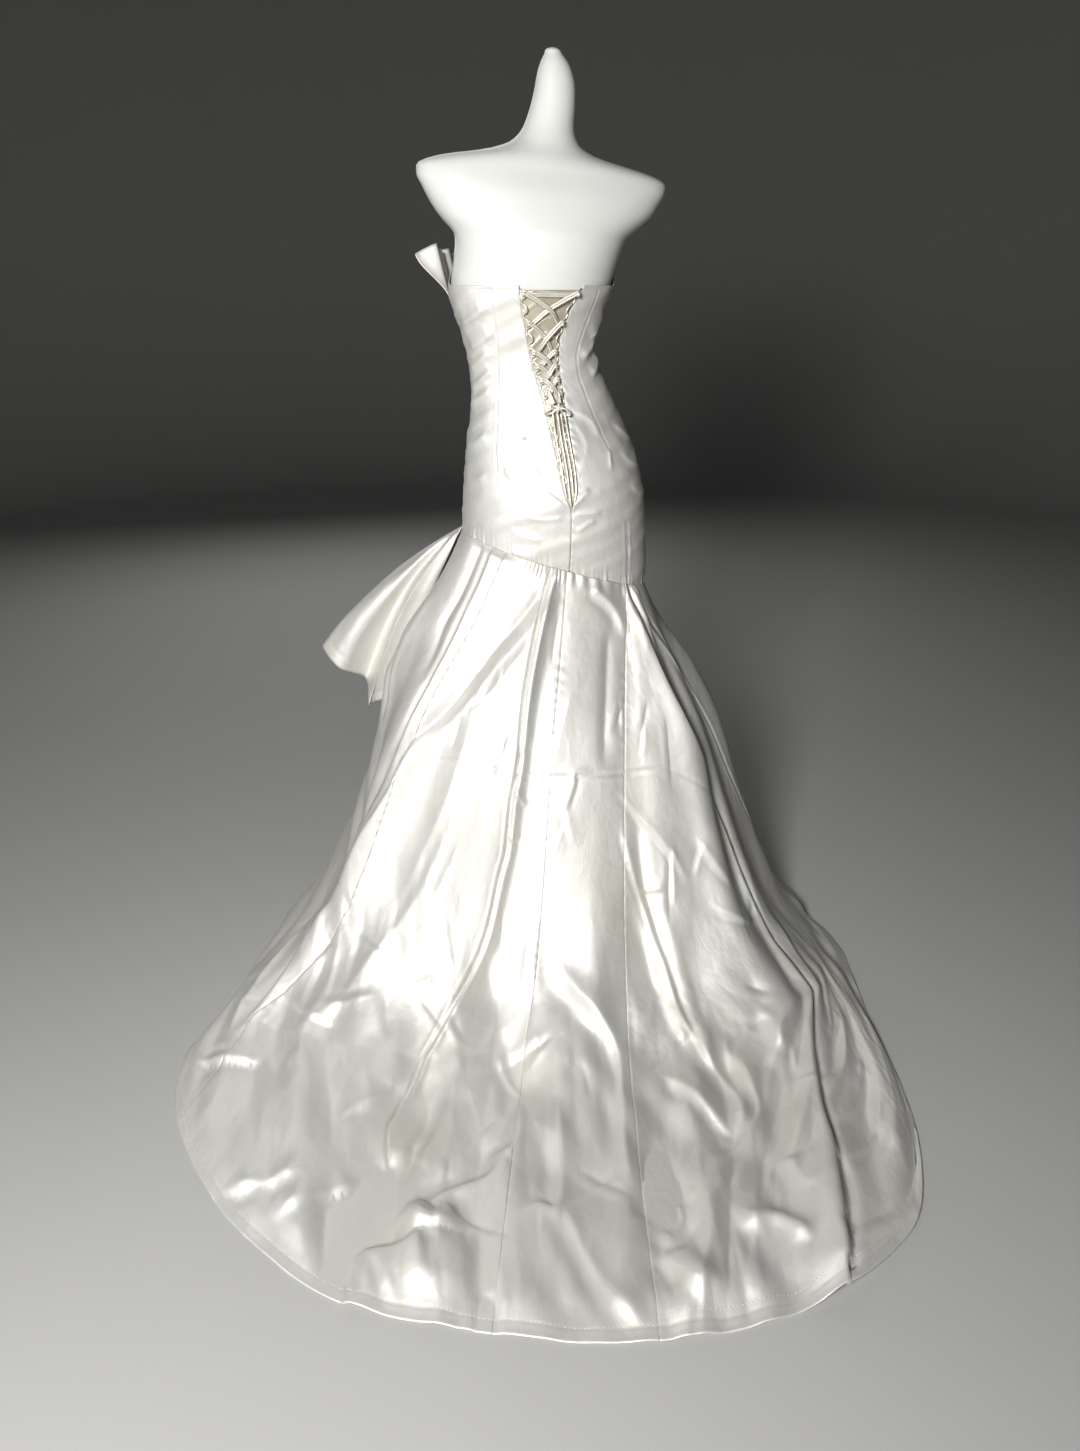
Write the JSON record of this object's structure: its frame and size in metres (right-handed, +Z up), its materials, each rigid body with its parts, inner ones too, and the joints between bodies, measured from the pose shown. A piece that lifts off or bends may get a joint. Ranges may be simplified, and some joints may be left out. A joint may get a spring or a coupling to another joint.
{
  "type": "strapless evening gown on a dress form",
  "caption": "Strapless ivory satin trumpet gown with a laced back, bust fan, hip flounce and floor train, worn by a limbless dress form on a stand.",
  "frame": {"origin": "centre of the underside of the stand's round base, on the floor", "axes": "+Z up, +Y towards the laced back and the train, +X towards the wearer's left"},
  "size_m": [1.2159, 1.4069, 1.5395],
  "materials": {
    "ivory_satin": "glossy duchess satin",
    "cream_lining": "soft satin",
    "white_gloss_shell": "gloss lacquered fibreglass",
    "brushed_steel": "brushed"
  },
  "bodies": {
    "root": {"bodice_back_left": "ivory_satin", "bodice_back_right": "ivory_satin", "bodice_side_front_left": "ivory_satin", "bodice_side_front_right": "ivory_satin", "bodice_centre_front": "ivory_satin", "modesty_panel": "cream_lining", "lacing_loops_left": "ivory_satin", "lacing_loops_right": "ivory_satin", "lace_cord_a": "ivory_satin", "lace_cord_b": "ivory_satin", "lace_knot": "ivory_satin", "lace_tail_a": "ivory_satin", "lace_tail_b": "ivory_satin", "lace_tail_c": "ivory_satin", "lace_tail_d": "ivory_satin", "bust_fan": "ivory_satin", "hip_flounce": "ivory_satin", "skirt_back_left": "ivory_satin", "skirt_back_right": "ivory_satin", "skirt_side_back_left": "ivory_satin", "skirt_side_back_right": "ivory_satin", "skirt_side_front_left": "ivory_satin", "skirt_side_front_right": "ivory_satin", "skirt_centre_front": "ivory_satin", "form_torso": "white_gloss_shell", "form_pole": "brushed_steel", "form_base": "white_gloss_shell"}
  },
  "joints": []
}
